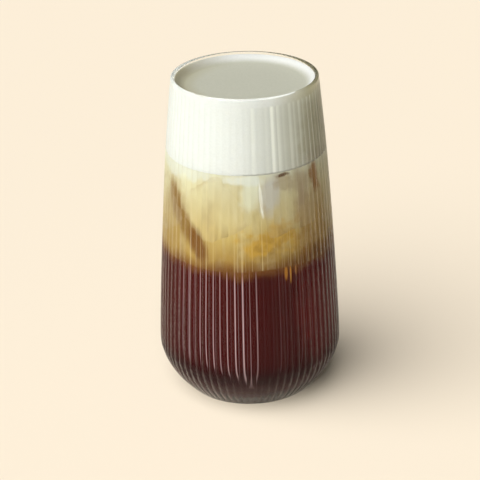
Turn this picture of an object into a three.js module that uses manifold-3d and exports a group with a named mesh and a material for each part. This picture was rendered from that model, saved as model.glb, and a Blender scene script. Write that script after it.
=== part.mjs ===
// Iced coffee in a ribbed tumbler: dark coffee at the bottom, milky coffee with
// ice cubes above it, and a deep cap of white milk foam up to the rim.
// Millimetres, +Z up, origin at the middle of the foot. The front is -Y.
import * as THREE from "three";
import { RoundedBoxGeometry } from "three/addons/geometries/RoundedBoxGeometry.js";
import { mergeVertices } from "three/addons/utils/BufferGeometryUtils.js";
import Module from "manifold-3d";

// Driving dimensions
const HEIGHT = 140; // foot to lip
const RIM_RADIUS = 30.5; // outside of the lip
const BELLY_RADIUS = 39.1; // widest point, low down
const BELLY_HEIGHT = 26;
const FOOT_RADIUS = 26.5; // flat disc that it stands on
const FLOOR_HEIGHT = 6.5; // clear base under the coffee
const FLOOR_RADIUS = 15; // flat middle of the floor inside
const WALL = 2.4; // at the belly, over the ribs
const LIP_WALL = 1.8;

const RIBS = 72;
const RIB_DEPTH = 0.5; // at the belly, shallower where the glass narrows
const GROOVE_SHARPNESS = 3; // narrow grooves between broad round ribs
const RIB_FADE_FOOT = [0.8, 5]; // the ribs grow out of the heel over this height
const RIB_FADE_LIP = [136.6, 138.2]; // and end under a smooth lip band

const COFFEE_TOP = 66.5; // dark coffee up to here
const COFFEE_WAVE = 0.7; // its uneven edge
const MILK_TOP = 108.3; // milky coffee up to here
const FOAM_LEVEL = 136.2; // flat middle of the foam
const MENISCUS_RISE = 2.7; // the foam climbs the glass at its edge
const MENISCUS_WIDTH = 4.5;

const GAP = 0.3; // between pieces that touch
const ROUND_SEGMENTS = 40; // sides of every smooth round piece
const POINTS_PER_RIB = 3;

// Ice cubes against the glass: azimuth in degrees from the front towards +X,
// height of the middle, edge length, and roll about the line out of the glass.
const ICE_CORNER = 3.2;
const ICE_OVERLAP = 1.2; // how far a cube's face is melted to the curve of the wall
const ICE = [
  { azimuth: -78, height: 86.5, edge: 23, roll: 40 },
  { azimuth: -26, height: 91.5, edge: 25, roll: 38 },
  { azimuth: 32, height: 93, edge: 24, roll: 8 },
  { azimuth: 88, height: 87, edge: 24, roll: -24 },
  { azimuth: 150, height: 92, edge: 25, roll: 14 },
  { azimuth: 218, height: 88, edge: 24, roll: -32 },
];

const wasm = await Module();
wasm.setup();

// Small tools
function toSolid(geometry) {
  const bare = geometry.clone();
  bare.deleteAttribute("normal");
  bare.deleteAttribute("uv");
  const merged = mergeVertices(bare, 1e-4);
  return new wasm.Manifold(
    new wasm.Mesh({
      numProp: 3,
      vertProperties: new Float32Array(merged.attributes.position.array),
      triVerts: new Uint32Array(merged.index.array),
    }),
  );
}

function toGeometry(solid) {
  const { vertProperties, triVerts } = solid.getMesh();
  const geometry = new THREE.BufferGeometry();
  geometry.setAttribute("position", new THREE.BufferAttribute(vertProperties, 3));
  geometry.setIndex(new THREE.BufferAttribute(triVerts, 1));
  return geometry;
}

// A round solid about +Z from a profile of (radius, height) points that runs
// from the axis at the bottom, up the outside, to the axis at the top.
function turned(profile, segments = ROUND_SEGMENTS) {
  return new THREE.LatheGeometry(profile, segments).rotateX(Math.PI / 2);
}

// Moves every vertex of a turned solid to what reshape(radius, angle, z) returns.
function reshaped(geometry, reshape) {
  const position = geometry.attributes.position;
  for (let i = 0; i < position.count; i++) {
    const x = position.getX(i);
    const y = position.getY(i);
    const angle = Math.atan2(y, x);
    const [radius, z] = reshape(Math.hypot(x, y), angle, position.getZ(i));
    position.setXYZ(i, radius * Math.cos(angle), radius * Math.sin(angle), z);
  }
  return geometry;
}

const point = (radius, height) => new THREE.Vector2(radius, height);
const { smoothstep, degToRad } = THREE.MathUtils;

// Radius of an outline at a height, by straight steps between its points.
function radiusAt(outline, height) {
  const above = outline.findIndex((p) => p.y >= height);
  if (above < 0) return outline.at(-1).x;
  if (above === 0) return outline[0].x;
  const low = outline[above - 1];
  const high = outline[above];
  return low.x + ((high.x - low.x) * (height - low.y)) / (high.y - low.y);
}

// Outlines of the glass
// Outside, over the ribs: a quick swell out of the foot, then a long slow taper.
const SHOULDER_HEIGHT = 105;
const LIP_START = HEIGHT - 0.9;
const outside = new THREE.SplineCurve([
  point(FOOT_RADIUS + 1.7, 0.6),
  point(BELLY_RADIUS - 4.5, 8.2),
  point(BELLY_RADIUS - 0.6, 16.6),
  point(BELLY_RADIUS, BELLY_HEIGHT),
  point(BELLY_RADIUS - 2.1, 63),
  point(BELLY_RADIUS - 5.2, SHOULDER_HEIGHT),
  point(RIM_RADIUS, LIP_START),
]);

// Inside: a floor that turns up into the wall in one wide curve.
const inside = new THREE.SplineCurve([
  point(FLOOR_RADIUS, FLOOR_HEIGHT),
  point(FLOOR_RADIUS + 12.5, FLOOR_HEIGHT + 2.9),
  point(BELLY_RADIUS - WALL - 2.7, 17),
  point(BELLY_RADIUS - WALL - 0.2, BELLY_HEIGHT + 2),
  point(BELLY_RADIUS - WALL - 2.1, 63),
  point(BELLY_RADIUS - WALL - 5.0, SHOULDER_HEIGHT),
  point(RIM_RADIUS - LIP_WALL, LIP_START),
]);

// Points along an outline, moved in by an inset. Its first half, the tight
// curve at the bottom, gets more of them than the long wall above.
function stations(outline, inset = 0, bottomSteps = 6, wallSteps = 4) {
  const places = [];
  for (let i = 0; i < bottomSteps; i++) places.push((0.5 * i) / bottomSteps);
  for (let i = 0; i <= wallSteps; i++) places.push(0.5 + (0.5 * i) / wallSteps);
  return places.map((place) => {
    const p = outline.getPoint(place);
    const t = outline.getTangent(place);
    return point(p.x - t.y * inset, p.y + t.x * inset);
  });
}

// Glass
function ribbed(radius, angle, z) {
  const strength =
    smoothstep(z, ...RIB_FADE_FOOT) * (1 - smoothstep(z, ...RIB_FADE_LIP));
  const groove = ((1 + Math.cos(RIBS * angle)) / 2) ** GROOVE_SHARPNESS;
  const depth = RIB_DEPTH * (radius / BELLY_RADIUS) * strength * groove;
  return [radius - depth, z];
}

function glass() {
  const wall = stations(outside).slice(0, -1);
  const fadeStart = RIB_FADE_LIP[0];
  const outer = turned(
    [
      point(0, 0),
      point(FOOT_RADIUS, 0),
      ...wall,
      point(radiusAt(stations(outside), fadeStart), fadeStart),
      point(RIM_RADIUS, HEIGHT - 1.8),
      point(RIM_RADIUS, HEIGHT - 0.7),
      point(RIM_RADIUS - 0.5, HEIGHT - 0.1),
      point(RIM_RADIUS - 0.9, HEIGHT),
      point(0, HEIGHT),
    ],
    RIBS * POINTS_PER_RIB,
  );
  const hollow = turned([
    point(0, FLOOR_HEIGHT),
    ...stations(inside),
    point(RIM_RADIUS - LIP_WALL + 0.5, HEIGHT - 0.1),
    point(RIM_RADIUS - LIP_WALL + 0.6, HEIGHT + 1),
    point(0, HEIGHT + 1),
  ]);
  return toSolid(reshaped(outer, ribbed)).subtract(toSolid(hollow));
}

// Layers of the drink
// The stretch of the contents' outline between two heights, with the axis
// added at both ends.
function layerProfile(bottom, top) {
  const outline = stations(inside, GAP);
  const between = outline.filter((p) => p.y > bottom + 1 && p.y < top - 1);
  return [
    point(0, bottom),
    ...(bottom > outline[0].y ? [point(radiusAt(outline, bottom), bottom)] : [outline[0]]),
    ...between,
    point(radiusAt(outline, top), top),
    point(0, top),
  ];
}

function coffeeEdge(angle) {
  return COFFEE_WAVE * (0.6 * Math.sin(2 * angle + 1) + 0.4 * Math.sin(5 * angle));
}

// Gives the face at a height the uneven edge where coffee and milk meet.
const wavyAt = (height) => (radius, angle, z) => {
  const onEdge = radius > 1 && Math.abs(z - height) < 0.01;
  return [radius, onEdge ? z + coffeeEdge(angle) : z];
};

function coffee() {
  const profile = layerProfile(FLOOR_HEIGHT + GAP, COFFEE_TOP);
  return toSolid(reshaped(turned(profile), wavyAt(COFFEE_TOP)));
}

function milkLayer() {
  const bottom = COFFEE_TOP + GAP;
  return toSolid(reshaped(turned(layerProfile(bottom, MILK_TOP)), wavyAt(bottom)));
}

function foam() {
  const bottom = MILK_TOP + GAP;
  const edgeTop = FOAM_LEVEL + MENISCUS_RISE;
  const profile = layerProfile(bottom, edgeTop).slice(0, -1);
  const edge = profile.at(-1).x;
  for (const part of [0.75, 0.5, 0.25, 0]) {
    profile.push(
      point(edge - MENISCUS_WIDTH * (1 - part), FOAM_LEVEL + MENISCUS_RISE * part ** 2),
    );
  }
  profile.push(point(0, FOAM_LEVEL));
  return toSolid(turned(profile));
}

// Ice
// One cube against the wall, grown by an allowance when it cuts its neighbours.
function iceBlock({ azimuth, height, edge, roll }, allowance = 0) {
  const size = edge + 2 * allowance;
  const a = degToRad(azimuth);
  const out = new THREE.Vector3(Math.sin(a), -Math.cos(a), 0);
  const centre = radiusAt(stations(inside, GAP), height) - edge / 2 + ICE_OVERLAP;
  const turn = new THREE.Quaternion()
    .setFromAxisAngle(out, degToRad(roll))
    .multiply(new THREE.Quaternion().setFromAxisAngle(new THREE.Vector3(0, 0, 1), a));
  const block = new RoundedBoxGeometry(size, size, size, 1, ICE_CORNER + allowance)
    .applyQuaternion(turn)
    .translate(out.x * centre, out.y * centre, height);
  return toSolid(block);
}

function iceAndMilk() {
  const layer = milkLayer();
  // Ice keeps clear of the coffee below and of the foam above.
  const room = toSolid(turned(layerProfile(COFFEE_TOP + 2, MILK_TOP - 0.01)));
  const cubes = [];
  let milk = layer;
  ICE.forEach((spec, i) => {
    let cube = iceBlock(spec).intersect(room);
    for (const earlier of ICE.slice(0, i)) cube = cube.subtract(iceBlock(earlier, GAP));
    milk = milk.subtract(iceBlock(spec, GAP));
    cubes.push(cube);
  });
  return { milk, cubes };
}

// Materials and assembly
function piece(name, solid, colour, roughness, opacity = 1) {
  const material = new THREE.MeshStandardMaterial({
    color: colour,
    roughness,
    metalness: 0,
    transparent: opacity < 1,
    opacity,
  });
  const mesh = new THREE.Mesh(toGeometry(solid), material);
  mesh.name = name;
  return mesh;
}

const { milk, cubes } = iceAndMilk();
const drink = new THREE.Group();
drink.add(
  piece("glass_tumbler", glass(), 0xdfe5dc, 0.03, 0.35),
  piece("coffee", coffee(), 0x3a1413, 0.2),
  piece("milky_coffee", milk, 0xcfb87f, 0.35),
  piece("milk_foam", foam(), 0xf1f4ea, 0.6),
  ...cubes.map((cube, i) => piece(`ice_cube_${i + 1}`, cube, 0xd9d2bd, 0.1, 0.6)),
);

export default drink;
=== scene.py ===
"""Iced coffee in a ribbed tumbler: the drink's layers, the glass, a pale table and soft light."""
import math

import bmesh
import bpy
import mathutils
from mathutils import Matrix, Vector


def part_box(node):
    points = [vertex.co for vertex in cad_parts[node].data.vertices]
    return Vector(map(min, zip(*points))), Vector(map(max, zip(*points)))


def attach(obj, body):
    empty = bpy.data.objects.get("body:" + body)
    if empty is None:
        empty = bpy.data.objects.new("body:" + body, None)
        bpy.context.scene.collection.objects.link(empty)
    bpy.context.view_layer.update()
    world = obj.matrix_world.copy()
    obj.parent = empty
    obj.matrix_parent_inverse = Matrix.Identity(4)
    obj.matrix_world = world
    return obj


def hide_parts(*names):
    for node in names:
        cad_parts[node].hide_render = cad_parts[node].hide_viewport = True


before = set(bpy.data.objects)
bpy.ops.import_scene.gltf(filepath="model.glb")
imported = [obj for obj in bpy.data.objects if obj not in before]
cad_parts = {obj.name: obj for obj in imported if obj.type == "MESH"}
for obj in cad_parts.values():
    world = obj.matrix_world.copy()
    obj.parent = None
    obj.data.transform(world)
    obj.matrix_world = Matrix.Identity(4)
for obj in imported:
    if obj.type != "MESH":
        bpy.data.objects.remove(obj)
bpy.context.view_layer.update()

# The tumbler: one piece of clear pressed glass. Its wall swells quickly out of
# a small flat foot and tapers slowly up to a smooth fire-polished lip. Upright
# ribs are pressed into the outside only, and the base is a thick clear lens.
MM = 0.001
GLASS_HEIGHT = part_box("glass_tumbler")[1][2] / MM
RIM_RADIUS = 30.5
FOOT_RADIUS = 26.5
FLOOR_HEIGHT = 6.5
RIBS = 72
COLUMNS_PER_RIB = 8
RIB_DEPTH = 0.014              # of the radius
FADE_FOOT = (0.8, 5.0)         # heights over which the ribs grow out of the heel
FADE_LIP = (GLASS_HEIGHT - 3.4, GLASS_HEIGHT - 1.8)
WITHIN_WALL = 0.8              # farther out than this from the inside, a point is on the outside
CLOSE = 0.003                  # mm: two places this near are the same
SHARP_EDGE = math.radians(40)

# Radius and height of the places that shape the wall, outside over the ribs.
OUTSIDE = [(28.2, 0.6), (34.6, 8.2), (38.5, 16.6), (39.1, 26.0),
           (37.0, 63.0), (33.9, 105.0), (RIM_RADIUS, GLASS_HEIGHT - 0.9)]
INSIDE = [(15.0, FLOOR_HEIGHT), (27.5, 9.4), (34.0, 17.0), (36.5, 28.0),
          (34.6, 63.0), (31.7, 105.0), (28.7, GLASS_HEIGHT - 0.9)]


def smooth_outline(places, steps):
    """Points on one smooth curve through the places, with steps between each two."""
    outline = []
    last = len(places) - 1
    for i in range(last):
        p0, p1 = places[max(i - 1, 0)], places[i]
        p2, p3 = places[i + 1], places[min(i + 2, last)]
        for k in range(steps):
            t = k / steps
            outline.append(tuple(
                (2 * b - 2 * c + (c - a) / 2 + (d - b) / 2) * t ** 3
                + (-3 * b + 3 * c - (c - a) - (d - b) / 2) * t ** 2
                + (c - a) / 2 * t + b
                for a, b, c, d in zip(p0, p1, p2, p3)))
    return outline + [places[last]]


def radius_at(outline, height):
    """Radius of an outline at a height, between its points."""
    for (r0, z0), (r1, z1) in zip(outline, outline[1:]):
        if z0 <= height <= z1:
            return r0 + (r1 - r0) * (height - z0) / (z1 - z0)
    return outline[-1][0] if height > outline[-1][1] else outline[0][0]


def pick(keep):
    """Selects the vertices of the mesh in edit mode that keep(radius, angle, height) takes, in mm."""
    mesh = bmesh.from_edit_mesh(bpy.context.edit_object.data)
    for v in mesh.verts:
        x, y, z = v.co
        v.select = keep(math.hypot(x, y) / MM, math.atan2(x, -y), z / MM)
    mesh.select_flush_mode()
    bmesh.update_edit_mesh(bpy.context.edit_object.data)


def turn_up(name, stations, columns):
    """A round piece, closed at both ends, drawn up from a ring through (radius, height) stations."""
    bpy.ops.object.select_all(action="DESELECT")
    radius, height = stations[0]
    bpy.ops.mesh.primitive_circle_add(
        vertices=columns, radius=radius * MM, location=(0, 0, height * MM))
    piece = bpy.context.object
    piece.name = piece.data.name = name
    bpy.ops.object.transform_apply(location=True, rotation=True, scale=True)
    bpy.ops.object.mode_set(mode="EDIT")
    bpy.ops.mesh.select_all(action="SELECT")
    for next_radius, next_height in stations[1:]:
        bpy.ops.mesh.extrude_region_move(
            TRANSFORM_OT_translate={"value": (0, 0, (next_height - height) * MM)})
        grow = next_radius / radius
        bpy.ops.transform.resize(value=(grow, grow, 1), center_override=(0, 0, 0))
        radius, height = next_radius, next_height
    bpy.ops.mesh.extrude_region_move()
    bpy.ops.mesh.merge(type="CENTER")
    first_radius, first_height = stations[0]
    pick(lambda r, a, z: abs(z - first_height) < CLOSE and abs(r - first_radius) < CLOSE)
    bpy.ops.mesh.extrude_region_move()
    bpy.ops.mesh.merge(type="CENTER")
    bpy.ops.mesh.select_all(action="SELECT")
    bpy.ops.mesh.normals_make_consistent(inside=False)
    bpy.ops.object.mode_set(mode="OBJECT")
    bpy.ops.object.shade_smooth_by_angle(angle=SHARP_EDGE)
    return piece


outside = smooth_outline(OUTSIDE, steps=9)
inside = smooth_outline(INSIDE, steps=5)
foot_ring = [(FOOT_RADIUS - 1.5, 0.12), (FOOT_RADIUS - 0.8, 0.0), (FOOT_RADIUS, 0.0)]
lip = [(RIM_RADIUS, GLASS_HEIGHT - 1.8), (RIM_RADIUS, GLASS_HEIGHT - 0.9),
       (30.38, GLASS_HEIGHT - 0.45), (30.05, GLASS_HEIGHT - 0.12),
       (29.6, GLASS_HEIGHT), (29.2, GLASS_HEIGHT - 0.1),
       (28.85, GLASS_HEIGHT - 0.42)]
rib_rows = [p for p in outside if p[1] < FADE_LIP[0]]
rib_rows += [(radius_at(outside, z), z) for z in
             (FADE_LIP[0], (FADE_LIP[0] + FADE_LIP[1]) / 2)]
glass = turn_up("ribbed_glass", foot_ring + rib_rows + lip + inside[::-1], RIBS * COLUMNS_PER_RIB)

# Each rib is a shallow round bar: the columns between its crest and the groove
# beside it are drawn in towards the axis, less so where the ribs fade out.
bpy.ops.object.mode_set(mode="EDIT")
groove_turn = 2 * math.pi / RIBS
heights = sorted({round(p[1], 3) for p in rib_rows})


def fade(height):
    """How strong the ribs are at a height, from 0 to 1."""
    up = min(max((height - FADE_FOOT[0]) / (FADE_FOOT[1] - FADE_FOOT[0]), 0), 1)
    down = min(max((FADE_LIP[1] - height) / (FADE_LIP[1] - FADE_LIP[0]), 0), 1)
    return up * up * (3 - 2 * up) * down * down * (3 - 2 * down)


strengths = sorted({round(fade(h), 3) for h in heights} - {0.0})
for strength in strengths:
    rows = [h for h in heights if round(fade(h), 3) == strength]
    for column in range(1, COLUMNS_PER_RIB // 2 + 1):
        off_crest = column / COLUMNS_PER_RIB          # 0 at the crest, 0.5 in the groove
        draw_in = 1 - strength * RIB_DEPTH * (2 * off_crest) ** 2

        def on_column(r, a, z):
            """Whether a point of the outside lies on this column and on one of these rows."""
            if r < radius_at(inside, z) + WITHIN_WALL or z > FADE_LIP[1] - 0.1:
                return False
            turn = (a / groove_turn) % 1
            if abs(min(turn, 1 - turn) - off_crest) > 0.01:
                return False
            return any(abs(z - row) < CLOSE for row in rows)

        pick(on_column)
        bpy.ops.transform.resize(value=(draw_in, draw_in, 1), center_override=(0, 0, 0))
bpy.ops.object.mode_set(mode="OBJECT")


def new_material(name):
    """A material with its tree and its Principled shader."""
    material = bpy.data.materials.new(name)
    material.use_nodes = True
    return material, material.node_tree, material.node_tree.nodes["Principled BSDF"]


clear_glass, tree, shader = new_material("clear_ribbed_glass")
shader.inputs["Base Color"].default_value = (0.97, 0.985, 0.965, 1)
shader.inputs["Roughness"].default_value = 0.015
shader.inputs["IOR"].default_value = 1.5
# Weak, faintly pink reflections keep the coffee behind the wall dark.
shader.inputs["Specular Tint"].default_value = (0.22, 0.155, 0.17, 1)
shader.inputs["Transmission Weight"].default_value = 1.0
# Light from the lamps passes the wall, so that it reaches the drink.
lamp_way = tree.nodes.new("ShaderNodeBsdfTransparent")
lamp_way.inputs["Color"].default_value = (0.93, 0.94, 0.92, 1)
ray = tree.nodes.new("ShaderNodeLightPath")
either = tree.nodes.new("ShaderNodeMixShader")
tree.links.new(ray.outputs["Is Shadow Ray"], either.inputs["Fac"])
tree.links.new(shader.outputs["BSDF"], either.inputs[1])
tree.links.new(lamp_way.outputs["BSDF"], either.inputs[2])
tree.links.new(either.outputs["Shader"], tree.nodes["Material Output"].inputs["Surface"])
glass.data.materials.append(clear_glass)
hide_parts("glass_tumbler")
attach(glass, "root")

# The dark coffee: black iced coffee that fills the round bottom of the glass.
# It reaches just into the wall, so that it wets the glass. Its top edge is
# uneven where the milky coffee has begun to sink into it.
INTO_WALL = 0.25
COFFEE_TOP = 66.7
COLUMNS = 180
ROW_GAP = 0.4                  # a row nearer than this to either end is left out
EDGE_REACH = 1.5               # points this near the coffee's top rise and fall with its edge
SIDE_RADIUS = 34               # about the drink's radius, for lengths measured round its side


def wetted(low, high):
    """Stations of the drink's outline between two heights, a little inside the wall."""
    rows = [(r + INTO_WALL, z) for r, z in inside if low + ROW_GAP < z < high - ROW_GAP]
    ends = [(radius_at(inside, z) + INTO_WALL, z) for z in (low, high)]
    return [ends[0]] + rows + [ends[1]]


def coffee_edge(angle):
    """How far the coffee's edge stands above or below its height, in mm."""
    return 0.42 * math.sin(2 * angle + 1) + 0.28 * math.sin(5 * angle)


def wave_edge(piece, height):
    """Raises and lowers a piece's rim at a height to the coffee's uneven edge, but not its middle."""
    bpy.ops.object.select_all(action="DESELECT")
    piece.select_set(True)
    bpy.context.view_layer.objects.active = piece
    bpy.ops.object.mode_set(mode="EDIT")
    for step in range(COLUMNS):
        angle = 2 * math.pi * step / COLUMNS - math.pi
        pick(lambda r, a, z: r > 5 and abs(z - height) < EDGE_REACH
             and abs((a - angle + math.pi) % (2 * math.pi) - math.pi) < 0.005)
        bpy.ops.transform.translate(value=(0, 0, coffee_edge(angle) * MM))
    bpy.ops.object.mode_set(mode="OBJECT")


coffee_rows = wetted(INSIDE[0][1], COFFEE_TOP)
coffee_rows[0] = (INSIDE[0][0], INSIDE[0][1] - INTO_WALL)
coffee = turn_up("dark_coffee", coffee_rows, COLUMNS)


def add_group(tree, group):
    """A shader group, placed in a tree."""
    node = tree.nodes.new("ShaderNodeGroup")
    node.node_tree = group
    return node


def calc(tree, operation, first, second=0.0):
    """What a Math node makes of two values or sockets."""
    node = tree.nodes.new("ShaderNodeMath")
    node.operation = operation
    for socket, value in ((node.inputs[0], first), (node.inputs[1], second)):
        if isinstance(value, (int, float)):
            socket.default_value = value
        else:
            tree.links.new(value, socket)
    return node.outputs[0]


def times(tree, first, *others):
    """The product of values or sockets."""
    for other in others:
        first = calc(tree, "MULTIPLY", first, other)
    return first


def between(tree, value, low, high):
    """Value as 0 to 1 between low and high."""
    node = tree.nodes.new("ShaderNodeMapRange")
    node.inputs["From Min"].default_value = low
    node.inputs["From Max"].default_value = high
    tree.links.new(value, node.inputs["Value"])
    return node.outputs["Result"]


def ramp(tree, value, stops):
    """A colour ramp over value, from (place, colour) stops."""
    node = tree.nodes.new("ShaderNodeValToRGB")
    elements = node.color_ramp.elements
    elements[0].position, elements[0].color = stops[0][0], (*stops[0][1], 1)
    elements[1].position, elements[1].color = stops[-1][0], (*stops[-1][1], 1)
    for place, colour in stops[1:-1]:
        elements.new(place).color = (*colour, 1)
    tree.links.new(value, node.inputs["Fac"])
    return node.outputs["Color"]


def blend(tree, factor, first, second):
    """Colours first and second, mixed by factor. Either may be a plain colour."""
    node = tree.nodes.new("ShaderNodeMix")
    node.data_type = "RGBA"
    if isinstance(factor, float):
        node.inputs["Factor"].default_value = factor
    else:
        tree.links.new(factor, node.inputs["Factor"])
    for socket, colour in ((node.inputs[6], first), (node.inputs[7], second)):
        if isinstance(colour, tuple):
            socket.default_value = (*colour, 1)
        else:
            tree.links.new(colour, socket)
    return node.outputs[2]


def cloud(tree, scale, detail=2.0, stretch=(1, 1, 1)):
    """Soft noise on the piece's own place, scale in 1/m."""
    place = tree.nodes.new("ShaderNodeTexCoord")
    mapping = tree.nodes.new("ShaderNodeMapping")
    mapping.inputs["Scale"].default_value = stretch
    noise = tree.nodes.new("ShaderNodeTexNoise")
    noise.inputs["Scale"].default_value = scale
    noise.inputs["Detail"].default_value = detail
    tree.links.new(place.outputs["Object"], mapping.inputs["Vector"])
    tree.links.new(mapping.outputs["Vector"], noise.inputs["Vector"])
    return noise.outputs["Fac"]


def waver(tree, reach, scale, detail, stretch=(1, 1, 1)):
    """Soft noise about zero, over a whole width of reach."""
    return times(tree, calc(tree, "SUBTRACT", cloud(tree, scale, detail, stretch), 0.5), reach)


def wall_place_group():
    """Where a point lies on the side of the drink: mm round from the front, mm up, and radians."""
    group = bpy.data.node_groups.new("Wall Place", "ShaderNodeTree")
    for name in ("Arc", "Height", "Turn"):
        group.interface.new_socket(name, in_out="OUTPUT", socket_type="NodeSocketFloat")
    out = group.nodes.new("NodeGroupOutput")
    place = group.nodes.new("ShaderNodeTexCoord")
    split = group.nodes.new("ShaderNodeSeparateXYZ")
    group.links.new(place.outputs["Object"], split.inputs[0])
    turn = calc(group, "ARCTAN2", split.outputs["X"], times(group, split.outputs["Y"], -1))
    group.links.new(times(group, turn, SIDE_RADIUS), out.inputs["Arc"])
    group.links.new(times(group, split.outputs["Z"], 1 / MM), out.inputs["Height"])
    group.links.new(turn, out.inputs["Turn"])
    return group


wall_place = wall_place_group()


def near_turn(tree, turn, start, full, last, end):
    """Mask over a stretch of the way round, in degrees: 0 at start, 1 from full to last, 0 at end."""
    rise = between(tree, turn, math.radians(start), math.radians(full))
    return times(tree, rise, between(tree, turn, math.radians(end), math.radians(last)))


def blot_group():
    """A soft-edged oval on the side of the drink, leaning by an angle and a little ragged."""
    group = bpy.data.node_groups.new("Blot", "ShaderNodeTree")
    for name, value in (("At Arc", 0), ("At Height", 0), ("Lean", 0), ("Half Length", 5),
                        ("Half Width", 1), ("Ragged", 0.3), ("Soft", 0.6)):
        socket = group.interface.new_socket(name, in_out="INPUT", socket_type="NodeSocketFloat")
        socket.default_value = value
    group.interface.new_socket("Mask", in_out="OUTPUT", socket_type="NodeSocketFloat")
    given, out = group.nodes.new("NodeGroupInput"), group.nodes.new("NodeGroupOutput")
    here = add_group(group, wall_place)
    across = calc(group, "SUBTRACT", here.outputs["Arc"], given.outputs["At Arc"])
    up = calc(group, "SUBTRACT", here.outputs["Height"], given.outputs["At Height"])
    cos = calc(group, "COSINE", given.outputs["Lean"])
    sin = calc(group, "SINE", given.outputs["Lean"])
    along = calc(group, "ADD", times(group, across, cos), times(group, up, sin))
    aside = calc(group, "SUBTRACT", times(group, up, cos), times(group, across, sin))
    along = calc(group, "DIVIDE", along, given.outputs["Half Length"])
    aside = calc(group, "DIVIDE", aside, given.outputs["Half Width"])
    away = calc(group, "SQRT", calc(
        group, "ADD", times(group, along, along), times(group, aside, aside)))
    away = calc(group, "ADD", away, times(group, waver(group, 4, 170, 3), given.outputs["Ragged"]))
    fall = group.nodes.new("ShaderNodeMapRange")
    fall.interpolation_type = "SMOOTHSTEP"
    fall.inputs["To Min"].default_value = 1
    fall.inputs["To Max"].default_value = 0
    fall.inputs["From Max"].default_value = 1
    group.links.new(away, fall.inputs["Value"])
    group.links.new(calc(group, "SUBTRACT", 1, given.outputs["Soft"]), fall.inputs["From Min"])
    group.links.new(fall.outputs["Result"], out.inputs["Mask"])
    return group


blot = blot_group()


def blots(tree, colour, marks):
    """Colour with marks laid over it, each as (azimuth, height, lean, length, width, colour,
    strength, ragged), in degrees and mm."""
    for azimuth, height, lean, length, width, tint, strength, ragged in marks:
        node = add_group(tree, blot)
        node.inputs["At Arc"].default_value = math.radians(azimuth) * SIDE_RADIUS
        node.inputs["At Height"].default_value = height
        node.inputs["Lean"].default_value = math.radians(lean)
        node.inputs["Half Length"].default_value = length / 2
        node.inputs["Half Width"].default_value = width / 2
        node.inputs["Ragged"].default_value = ragged
        colour = blend(tree, times(tree, node.outputs["Mask"], strength), colour, tint)
    return colour


def rib_light_group():
    """Painted upright lines of light, where the ribs gather light on what stands behind them, uneven
    from rib to rib.
    """
    group = bpy.data.node_groups.new("Rib Light", "ShaderNodeTree")
    for name, value in (("Sharpness", 8), ("Uneven", 0.6), ("Lines To A Rib", 2), ("Wander", 0.06)):
        socket = group.interface.new_socket(name, in_out="INPUT", socket_type="NodeSocketFloat")
        socket.default_value = value
    group.interface.new_socket("Line", in_out="OUTPUT", socket_type="NodeSocketFloat")
    given, out = group.nodes.new("NodeGroupInput"), group.nodes.new("NodeGroupOutput")
    here = add_group(group, wall_place)
    sway = group.nodes.new("ShaderNodeTexNoise")
    sway.noise_dimensions = "1D"
    sway.inputs["Scale"].default_value = 9
    group.links.new(here.outputs["Turn"], sway.inputs["W"])
    drift = times(group, calc(group, "SUBTRACT", sway.outputs["Fac"], 0.5), given.outputs["Wander"])
    round_turn = calc(group, "ADD", here.outputs["Turn"], drift)
    lines_a_radian = times(group, given.outputs["Lines To A Rib"], RIBS / (2 * math.pi))
    lines_round = times(group, round_turn, lines_a_radian)
    crest = between(group, calc(group, "COSINE", times(group, lines_round, 2 * math.pi)), -1, 1)
    line = calc(group, "POWER", crest, given.outputs["Sharpness"])
    own = group.nodes.new("ShaderNodeTexWhiteNoise")
    own.noise_dimensions = "1D"
    group.links.new(calc(group, "ROUND", lines_round), own.inputs["W"])
    run = between(group, cloud(group, 60, 2, stretch=(1, 1, 0.12)), 0.3, 0.65)
    dim = calc(group, "ADD", times(group, own.outputs["Value"], given.outputs["Uneven"]), times(
        group, calc(group, "SUBTRACT", 1, run), given.outputs["Uneven"], 0.5))
    group.links.new(times(group, line, calc(group, "SUBTRACT", 1, dim)), out.inputs["Line"])
    return group


rib_light = rib_light_group()


def lit_lines(tree, colour, tint, sharpness, uneven, strength, to_a_rib=2):
    """Colour with the ribs' painted lines of light over it."""
    node = add_group(tree, rib_light)
    node.inputs["Lines To A Rib"].default_value = to_a_rib
    node.inputs["Sharpness"].default_value = sharpness
    node.inputs["Uneven"].default_value = uneven
    return blend(tree, times(tree, node.outputs["Line"], strength), colour, tint)


def coat(piece, material, colour, roughness, specular):
    """Gives a piece a material with a colour that varies, a roughness and a specular level."""
    shader = material.node_tree.nodes["Principled BSDF"]
    material.node_tree.links.new(colour, shader.inputs["Base Color"])
    shader.inputs["Roughness"].default_value = roughness
    shader.inputs["Specular IOR Level"].default_value = specular
    piece.data.materials.clear()
    piece.data.materials.append(material)


# Colours from the floor of the glass up to the coffee's top.
COFFEE_STOPS = [(0.0, (0.105, 0.036, 0.040)), (0.07, (0.060, 0.016, 0.019)),
                (0.16, (0.026, 0.005, 0.007)), (0.3, (0.052, 0.005, 0.005)),
                (0.92, (0.060, 0.005, 0.004)), (1.0, (0.085, 0.018, 0.008))]
DARKER_COFFEE = (0.036, 0.004, 0.004)
PAINTED_RED_GLOW = (0.125, 0.008, 0.008)
CLOUDED_COFFEE = (0.20, 0.085, 0.022)
PAINTED_RIB_LIGHT = (0.68, 0.48, 0.50)
PAINTED_FINE_RIB_LIGHT = (0.60, 0.44, 0.46)
MILK_RUNS = [(25.5, 65.0, 90, 9.0, 1.3, (0.44, 0.19, 0.03), 0.9, 0.1),
             (29.0, 64.0, 90, 11.0, 1.6, (0.55, 0.26, 0.04), 1.0, 0.1),
             (32.5, 65.5, 90, 8.0, 1.2, (0.42, 0.17, 0.03), 0.8, 0.1)]

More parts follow.
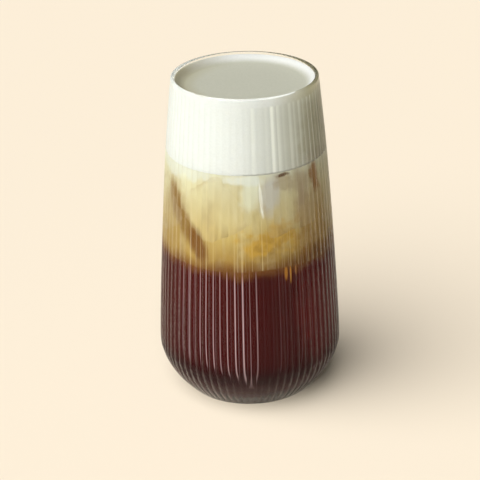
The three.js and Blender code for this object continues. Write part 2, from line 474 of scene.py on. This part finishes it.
coffee_liquid, tree, shader = new_material("dark_coffee")
side = add_group(tree, wall_place)
deep = ramp(tree, between(tree, side.outputs["Height"], FLOOR_HEIGHT, COFFEE_TOP), COFFEE_STOPS)
depth = between(tree, cloud(tree, 45, 3, stretch=(1, 1, 0.5)), 0.35, 0.7)
colour = blend(tree, times(tree, depth, 0.5), deep, DARKER_COFFEE)
# A painted red glow on the far side, where light that has come through the drink would glow.
colour = blots(tree, colour, [(58, 44, 90, 66, 40, PAINTED_RED_GLOW, 0.7, 0.1)])
# The lines end higher up on the left, where the base bends them together.
slanted = calc(tree, "ADD", side.outputs["Height"], times(tree, side.outputs["Turn"], 13))
above_base = between(tree, slanted, 12, 17)
# Painted lines of light from the ribs: strong from the lit left side to the middle, weaker elsewhere,
# and dimmest just right of the middle.
lit_side = near_turn(tree, side.outputs["Turn"], -62, -44, 1, 8)
dim_side = near_turn(tree, side.outputs["Turn"], 4, 12, 22, 34)
lines = times(tree, above_base, calc(tree, "ADD", 0.22, times(tree, lit_side, 0.78)),
              calc(tree, "SUBTRACT", 1, times(tree, dim_side, 0.4)))
colour = lit_lines(tree, colour, PAINTED_RIB_LIGHT, sharpness=60, uneven=0.7, strength=lines, to_a_rib=1)
between_ribs = times(tree, near_turn(tree, side.outputs["Turn"], -56, -44, -12, 2), above_base)
colour = lit_lines(tree, colour, PAINTED_FINE_RIB_LIGHT, sharpness=16, uneven=0.85, strength=between_ribs)
# Its top is clouded with milk, and a little has begun to run down into it.
clouds = waver(tree, 9, 120, 4, stretch=(1, 1, 0.5))
clouded = between(tree, calc(tree, "ADD", side.outputs["Height"], clouds), 63.4, 67.2)
colour = blend(tree, times(tree, clouded, 0.75), colour, CLOUDED_COFFEE)
colour = blots(tree, colour, MILK_RUNS)
coat(coffee, coffee_liquid, colour, roughness=0.5, specular=0.03)
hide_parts("coffee")
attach(coffee, "root")

# The milky coffee: milk that has run down round the ice and mixed with the
# coffee, cream at the top and golden at the bottom, with brown coffee left in
# the gap between two cubes.
MILK_TOP = 108.3
milk = turn_up("milky_layer", wetted(COFFEE_TOP, MILK_TOP), COLUMNS)
wave_edge(coffee, COFFEE_TOP)
wave_edge(milk, COFFEE_TOP)

# Colours from the coffee up to the foam.
MILK_STOPS = [(0.0, (0.21, 0.095, 0.020)), (0.04, (0.30, 0.17, 0.045)),
              (0.14, (0.38, 0.25, 0.068)), (0.40, (0.54, 0.425, 0.165)),
              (0.72, (0.58, 0.53, 0.31)), (0.90, (0.60, 0.58, 0.40)),
              (1.0, (0.66, 0.68, 0.56))]
THIN_MILK = (0.36, 0.25, 0.09)
MILK_WISP = (0.66, 0.62, 0.42)
COFFEE_STAIN = (0.28, 0.20, 0.10)
BROWN_DAPPLE = (0.25, 0.145, 0.032)
SUNK_MILK = (0.15, 0.06, 0.014)
PAINTED_MILK_RIB_LIGHT = (0.76, 0.65, 0.37)
LEFT_MARKS = [
    (-64, 84.0, 90, 46, 30, (0.26, 0.15, 0.03), 0.55, 0.15),      # tan milk at the left
    (-61, 92.0, 108, 24, 12, (0.22, 0.125, 0.035), 0.85, 0.04),   # the brown gap, its top
    (-49, 83.5, 126, 28, 11, (0.22, 0.125, 0.032), 0.85, 0.04),
    (-37, 76.5, 118, 23, 11, (0.17, 0.075, 0.018), 0.95, 0.06)]   # its lower end
RIGHT_MARKS = [
    (15, 79.5, 8, 34, 17, (0.53, 0.325, 0.052), 0.8, 0.55),       # amber under the ice
    (52, 84.0, 90, 50, 28, (0.28, 0.13, 0.035), 0.45, 0.2),       # tan milk at the right
    (50, 70.5, 4, 24, 10, (0.20, 0.09, 0.020), 0.75, 0.3)]
TOP_MARKS = [
    (1, 99.5, 84, 20, 11, (0.68, 0.71, 0.60), 0.6, 0.2),          # white milk between cubes
    (16, 99.5, 78, 24, 12.5, (0.50, 0.495, 0.475), 0.85, 0.15),   # grey, as clear ice shows
    (-2, 106.0, 0, 22, 6, (0.66, 0.69, 0.64), 0.8, 0.3),          # foam that has sunk in
    (-52, 106.5, 4, 46, 9, (0.60, 0.615, 0.53), 0.8, 0.4),
    (9.5, 98.0, 94, 21, 1.5, (0.85, 0.87, 0.82), 0.85, 0.2),      # a painted highlight along an edge of ice
    (27, 104.5, 0, 13, 10, (0.34, 0.26, 0.165), 0.6, 0.5),        # coffee stains under the foam
    (41, 101.0, 90, 20, 15, (0.34, 0.25, 0.165), 0.55, 0.4),
    (27, 107.2, 4, 8.0, 2.2, (0.12, 0.06, 0.03), 0.9, 0.5),
    (56, 103.0, 88, 16, 8, (0.28, 0.13, 0.035), 0.85, 0.4)]


def milk_colour(tree):
    """The colour of the milky layer at the glass, wherever a point of it lies."""
    side = add_group(tree, wall_place)
    turn = side.outputs["Turn"]
    drift = waver(tree, 14, 55, 3, stretch=(1, 1, 0.7))
    height = calc(tree, "ADD", side.outputs["Height"], drift)
    colour = ramp(tree, between(tree, height, COFFEE_TOP - 1, MILK_TOP), MILK_STOPS)
    patch = between(tree, cloud(tree, 90, 4, stretch=(1, 1, 0.45)), 0.45, 0.75)
    colour = blend(tree, times(tree, patch, 0.4), colour, THIN_MILK)
    wisps = between(tree, cloud(tree, 210, 4, stretch=(1, 1, 0.18)), 0.5, 0.72)
    colour = blend(tree, times(tree, wisps, 0.35), colour, MILK_WISP)
    stains = between(tree, cloud(tree, 150, 4, stretch=(1, 1, 0.3)), 0.56, 0.74)
    colour = blend(tree, times(tree, stains, 0.45), colour, COFFEE_STAIN)
    colour = blots(tree, colour, LEFT_MARKS + RIGHT_MARKS + TOP_MARKS)
    # Low on the right the milk has curdled into small brown dapples.
    dappled = times(tree, near_turn(tree, turn, -20, 2, 46, 68),
                    between(tree, side.outputs["Height"], 87, 77))
    dapples = between(tree, cloud(tree, 330, 3, stretch=(1, 1, 0.8)), 0.44, 0.60)
    colour = blend(tree, times(tree, dapples, dappled, 0.45), colour, BROWN_DAPPLE)
    # Just over the coffee it is brown, and the brown stands higher on the right.
    sunk = calc(tree, "ADD", side.outputs["Height"], waver(tree, 9, 120, 4, stretch=(1, 1, 0.5)))
    risen = times(tree, near_turn(tree, turn, 15, 50, 90, 130), 2.6)
    sunk = between(tree, calc(tree, "SUBTRACT", sunk, risen), 71.0, 66.4)
    colour = blend(tree, times(tree, sunk, 0.85), colour, SUNK_MILK)
    # Painted lines of light from the ribs over the milk, stronger low down.
    low_down = between(tree, side.outputs["Height"], 90, 66)
    lines = times(tree, near_turn(tree, turn, -75, -40, 50, 75),
                  calc(tree, "ADD", 0.22, times(tree, low_down, 0.4)))
    return lit_lines(tree, colour, PAINTED_MILK_RIB_LIGHT, sharpness=7, uneven=1.0, strength=lines)


milky, tree, shader = new_material("milky_coffee")
coat(milk, milky, milk_colour(tree), roughness=0.5, specular=0.04)
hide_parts("milky_coffee")
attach(milk, "root")

# The ice: six half-melted cubes that float in the milky layer and lean on the
# glass all round. Where a cube touches the wall its face has melted to the
# wall's curve, and brown coffee has stayed along its edges.
ICE_CORNER = 3.2
ICE_OVERLAP = 1.2              # how far a face has melted to the curve of the wall
ICE_PROUD = 0.02               # how far the ice reaches further into the wall than the milk
ICE_UNEVEN = 0.35              # how far its surface wanders
MELTED_ICE = (0.60, 0.58, 0.44)
EDGE_STAIN = (0.30, 0.18, 0.06)
# Azimuth from the front towards +X, height of the middle, edge, and roll on the wall.
ICE = [(-78, 86.5, 23, 40), (-26, 91.5, 25, 38), (32, 93.0, 24, 8),
       (88, 87.0, 24, -24), (150, 92.0, 25, 14), (218, 88.0, 24, -32)]


def cut_with(piece, other, operation):
    """Keeps what a piece shares with another, or takes the other away from it."""
    cutting = piece.modifiers.new("cut", "BOOLEAN")
    cutting.operation = operation
    cutting.solver = "MANIFOLD"
    cutting.object = other
    bpy.ops.object.select_all(action="DESELECT")
    piece.select_set(True)
    bpy.context.view_layer.objects.active = piece
    bpy.ops.object.modifier_apply(modifier=cutting.name)


def ice_pose(azimuth, height, edge, roll):
    """The middle of a cube that leans on the wall, in metres, and how it is turned."""
    turn = math.radians(azimuth)
    out = mathutils.Vector((math.sin(turn), -math.cos(turn), 0))
    lean = mathutils.Quaternion(out, math.radians(roll)) @ mathutils.Quaternion((0, 0, 1), turn)
    middle = out * (radius_at(inside, height) - edge / 2 + ICE_OVERLAP)
    return (middle.x * MM, middle.y * MM, height * MM), lean.to_euler()


def ice_block(name, place, seed):
    """One melted cube against the wall."""
    middle, lean = ice_pose(*place)
    edge = place[2] * MM
    bpy.ops.object.select_all(action="DESELECT")
    bpy.ops.mesh.primitive_cube_add(size=edge, location=middle, rotation=lean)
    block = bpy.context.object
    block.name = block.data.name = name
    bpy.ops.object.transform_apply(location=True, rotation=True, scale=True)
    rounding = block.modifiers.new("rounding", "BEVEL")
    rounding.width = ICE_CORNER * MM
    rounding.segments = 4
    bpy.ops.object.modifier_apply(modifier=rounding.name)
    bpy.ops.object.mode_set(mode="EDIT")
    bpy.ops.mesh.select_all(action="SELECT")
    bpy.ops.mesh.subdivide(number_cuts=2)
    bpy.ops.transform.vertex_random(offset=ICE_UNEVEN * MM, uniform=0.5, normal=0.5, seed=seed)
    bpy.ops.mesh.vertices_smooth(factor=0.6, repeat=3)
    bpy.ops.object.mode_set(mode="OBJECT")
    return block


def stained_edge(tree, place):
    """Mask of the brown coffee along a cube's edges, by how near a point is to its face's border."""
    middle, lean = ice_pose(*place)
    half_edge = place[2] / 2 * MM
    here = tree.nodes.new("ShaderNodeTexCoord")
    own_place = tree.nodes.new("ShaderNodeMapping")
    own_place.vector_type = "TEXTURE"
    own_place.inputs["Location"].default_value = middle
    own_place.inputs["Rotation"].default_value = lean
    tree.links.new(here.outputs["Object"], own_place.inputs["Vector"])
    split = tree.nodes.new("ShaderNodeSeparateXYZ")
    tree.links.new(own_place.outputs["Vector"], split.inputs[0])
    off = calc(tree, "MAXIMUM", calc(tree, "ABSOLUTE", split.outputs["X"]),
               calc(tree, "ABSOLUTE", split.outputs["Z"]))
    off = calc(tree, "DIVIDE", off, half_edge)
    rim = between(tree, calc(tree, "ADD", off, waver(tree, 0.5, 220, 3)), 0.80, 1.04)
    return times(tree, rim, between(tree, cloud(tree, 70, 2), 0.42, 0.62), 0.35)


ice_room = turn_up(
    "ice_room", [(r + ICE_PROUD, z) for r, z in wetted(COFFEE_TOP + 2, MILK_TOP - 0.05)], COLUMNS)
cubes = []
for i, place in enumerate(ICE, 1):
    cube = ice_block(f"ice_{i}", place, seed=i)
    for earlier in cubes:
        cut_with(cube, earlier, "DIFFERENCE")
    cut_with(milk, cube, "DIFFERENCE")
    cubes.append(cube)
for i, (cube, place) in enumerate(zip(cubes, ICE), 1):
    cut_with(cube, ice_room, "INTERSECT")
    bpy.ops.object.shade_smooth_by_angle(angle=SHARP_EDGE)
    ice, tree, shader = new_material(f"milky_ice_{i}")
    colour = blend(tree, 0.12, milk_colour(tree), MELTED_ICE)
    colour = blend(tree, stained_edge(tree, place), colour, EDGE_STAIN)
    coat(cube, ice, colour, roughness=0.3, specular=0.06)
    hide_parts(f"ice_cube_{i}")
    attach(cube, "root")
bpy.data.objects.remove(ice_room)

# The milk foam: fine cold foam poured on last, about 28 mm deep. Its middle
# lies flat just under the lip and its edge clings to the glass all round.
# The rim's painted shade lies on the left edge of its top, and its right side has darker olive
# patches.
FOAM_LEVEL = 136.2
FOAM_MIDDLE = 12.0             # radius of the innermost ring of its top
MENISCUS_RISE = 2.7
MENISCUS_WIDTH = 4.5
MENISCUS_STEPS = 8
foam_edge = radius_at(inside, FOAM_LEVEL + MENISCUS_RISE)
foam_top = [(foam_edge - MENISCUS_WIDTH * (1 - k / MENISCUS_STEPS),
             FOAM_LEVEL + MENISCUS_RISE * (k / MENISCUS_STEPS) ** 2)
            for k in range(MENISCUS_STEPS, -1, -1)]
foam_rows = wetted(MILK_TOP, FOAM_LEVEL + MENISCUS_RISE)
foam = turn_up("foam_cap", foam_rows + foam_top + [(FOAM_MIDDLE, FOAM_LEVEL)], COLUMNS)

# Each pair is the colour between the bubbles and the colour on them.
WET_FOAM = ((0.68, 0.70, 0.685), (0.71, 0.73, 0.715))
PAINTED_SHADE_TOP_FOAM = ((0.43, 0.44, 0.365), (0.46, 0.465, 0.39))
LIT_FOAM = (0.61, 0.64, 0.62)
SHADED_FOAM = (0.44, 0.42, 0.25)
PAINTED_GROOVE_SHADE = (0.46, 0.48, 0.40)
PAINTED_FOAM_RIB_LIGHT = (0.92, 0.94, 0.88)
CREPT_COFFEE = (0.30, 0.29, 0.25)
PAINTED_RIM_SHADE_FOAM = (0.36, 0.335, 0.22)
OLIVE_FOAM_PATCHES = [(56, 121, 90, 32, 20, (0.33, 0.29, 0.155), 0.55, 0.3),
               (60, 110, 0, 30, 10, (0.30, 0.24, 0.16), 0.5, 0.4)]

foam_milk, tree, shader = new_material("milk_foam")
side = add_group(tree, wall_place)
turn, height = side.outputs["Turn"], side.outputs["Height"]
bubbles = between(tree, cloud(tree, 1400, 3), 0.35, 0.65)
colour = blend(tree, bubbles, *WET_FOAM)
surface = tree.nodes.new("ShaderNodeNewGeometry")
facing = tree.nodes.new("ShaderNodeSeparateXYZ")
tree.links.new(surface.outputs["Normal"], facing.inputs[0])
# At the wall the foam is painted a little greyer towards the light, which tones its light down there.
# Away from the light it is painted darker and olive, as painted shade, and the ribs show on it.
on_wall = between(tree, facing.outputs["Z"], 0.5, 0.2)
sunny = times(tree, on_wall, near_turn(tree, turn, -120, -75, -45, -12))
colour = blend(tree, times(tree, sunny, 0.4), colour, LIT_FOAM)
shaded = times(tree, on_wall, near_turn(tree, turn, 18, 60, 120, 178))
colour = blend(tree, times(tree, shaded, 0.8), colour, SHADED_FOAM)
# There it also has darker olive patches.
colour = blots(tree, colour, OLIVE_FOAM_PATCHES)
# The glass's ribs are painted on the foam's side below the top: painted shade in the grooves and
# painted lines of light, mostly from the middle to the right.
below_top = between(tree, height, 136.4, 135.6)
ribs_show = near_turn(tree, turn, -5, 16, 80, 150)
colour = blend(tree, times(tree, ribs_show, below_top, 0.27), colour, PAINTED_GROOVE_SHADE)
lines = times(tree, below_top, calc(tree, "ADD", 0.02, times(tree, ribs_show, 0.96)))
colour = lit_lines(tree, colour, PAINTED_FOAM_RIB_LIGHT, sharpness=2.2, uneven=0.8, strength=lines, to_a_rib=1)
# A thin grey line of coffee has crept up between the foam and the wall.
crept = times(tree, near_turn(tree, turn, -12, 0, 70, 90), between(tree, height, 109.1, 108.5))
colour = blend(tree, times(tree, crept, 0.7), colour, CREPT_COFFEE)
# Painted shade: the flat top is darker and duller than the edge and the side.
painted_top_shade = times(tree, between(tree, height, FOAM_LEVEL + 1.6, FOAM_LEVEL + 0.1),
             between(tree, facing.outputs["Z"], 0.3, 0.9))
colour = blend(tree, painted_top_shade, colour, blend(tree, bubbles, *PAINTED_SHADE_TOP_FOAM))
# Painted shade: the top's edge on the left is darker and browner, on the side where the rim stands
# between it and the light.
flat_place = tree.nodes.new("ShaderNodeMapping")
flat_place.inputs["Scale"].default_value = (1, 1, 0)
top_place = tree.nodes.new("ShaderNodeTexCoord")
tree.links.new(top_place.outputs["Object"], flat_place.inputs["Vector"])
far_out = tree.nodes.new("ShaderNodeVectorMath")
far_out.operation = "LENGTH"
tree.links.new(flat_place.outputs["Vector"], far_out.inputs[0])
rim_shade = times(tree, between(tree, facing.outputs["Z"], 0.3, 0.6),
              near_turn(tree, turn, -170, -115, -62, -15),
              between(tree, far_out.outputs["Value"], 19 * MM, 27 * MM))
colour = blend(tree, times(tree, rim_shade, 0.85), colour, PAINTED_RIM_SHADE_FOAM)
coat(foam, foam_milk, colour, roughness=0.6, specular=0.15)
shader.inputs["Subsurface Weight"].default_value = 0.4
shader.inputs["Subsurface Radius"].default_value = (1.0, 0.95, 0.85)
shader.inputs["Subsurface Scale"].default_value = 4 * MM
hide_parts("milk_foam")
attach(foam, "root")

# The table: one pale cream sheet that fills the view. It is matt and bare, a
# plain flat ground for the glass and its shadow.
TABLE_SIZE = 12                # metres
bpy.ops.object.select_all(action="DESELECT")
bpy.ops.mesh.primitive_plane_add(size=TABLE_SIZE, location=(0, 0, 0))
table = bpy.context.object
table.name = "table"
table_paper, tree, shader = new_material("cream_table")
shader.inputs["Base Color"].default_value = (0.85, 0.76, 0.627, 1)
shader.inputs["Roughness"].default_value = 0.9
shader.inputs["Specular IOR Level"].default_value = 0.0
table.data.materials.append(table_paper)

# Light and camera: a broad soft light high on the front left, a room that adds
# a little warm light, and a long lens that looks down on the glass. Past the
# table the camera sees the same cream, which gives no light of its own.
LIGHT_FROM = -52               # degrees from the front towards +X
LIGHT_HEIGHT = 57              # degrees above the table
LIGHT_SPREAD = 66              # degrees across, as a wide window is
LIGHT_STRENGTH = 4.1
ROOM_STRENGTH = 0.06
bpy.ops.object.light_add(type="SUN")
window = bpy.context.object
window.name = "window_light"
window.data.energy = LIGHT_STRENGTH
window.data.angle = math.radians(LIGHT_SPREAD)
window.data.color = (1.0, 0.985, 0.96)
window.rotation_euler = (math.radians(90 - LIGHT_HEIGHT), 0, math.radians(LIGHT_FROM))

room = bpy.data.worlds.new("pale_room")
bpy.context.scene.world = room
room.use_nodes = True
nodes, links = room.node_tree.nodes, room.node_tree.links
nodes["Background"].inputs["Color"].default_value = (1.0, 0.93, 0.82, 1)
nodes["Background"].inputs["Strength"].default_value = ROOM_STRENGTH
backdrop = nodes.new("ShaderNodeBackground")
backdrop.inputs["Color"].default_value = (0.98, 0.86, 0.68, 1)
seen = nodes.new("ShaderNodeLightPath")
which = nodes.new("ShaderNodeMixShader")
links.new(seen.outputs["Is Camera Ray"], which.inputs["Fac"])
links.new(nodes["Background"].outputs["Background"], which.inputs[1])
links.new(backdrop.outputs["Background"], which.inputs[2])
links.new(which.outputs["Shader"], nodes["World Output"].inputs["Surface"])

EYE_DISTANCE = 706.4 * MM
EYE_HEIGHT_ANGLE = math.radians(25.06)
LOOK_AT = (-3.43 * MM, 0.0, 65.2 * MM)
EYE_ROLL = math.radians(-1.355)
SENSOR_WIDTH = 36
FOCAL_IN_FRAMES = 1650 / 480     # focal length over the frame's width
bpy.ops.object.camera_add()
eye = bpy.context.object
eye.location = (LOOK_AT[0], -EYE_DISTANCE * math.cos(EYE_HEIGHT_ANGLE),
                LOOK_AT[2] + EYE_DISTANCE * math.sin(EYE_HEIGHT_ANGLE))
eye.rotation_euler = (math.radians(90) - EYE_HEIGHT_ANGLE, 0, 0)
eye.rotation_euler.rotate_axis("Z", EYE_ROLL)
eye.data.sensor_width = SENSOR_WIDTH
eye.data.lens = SENSOR_WIDTH * FOCAL_IN_FRAMES
scene = bpy.context.scene
scene.camera = eye
scene.view_settings.view_transform = "Standard"
scene.view_settings.look = "None"
scene.cycles.use_denoising = True
scene.cycles.max_bounces = 16
scene.cycles.transmission_bounces = 12
scene.cycles.glossy_bounces = 6
scene.cycles.diffuse_bounces = 4
scene.cycles.transparent_max_bounces = 12
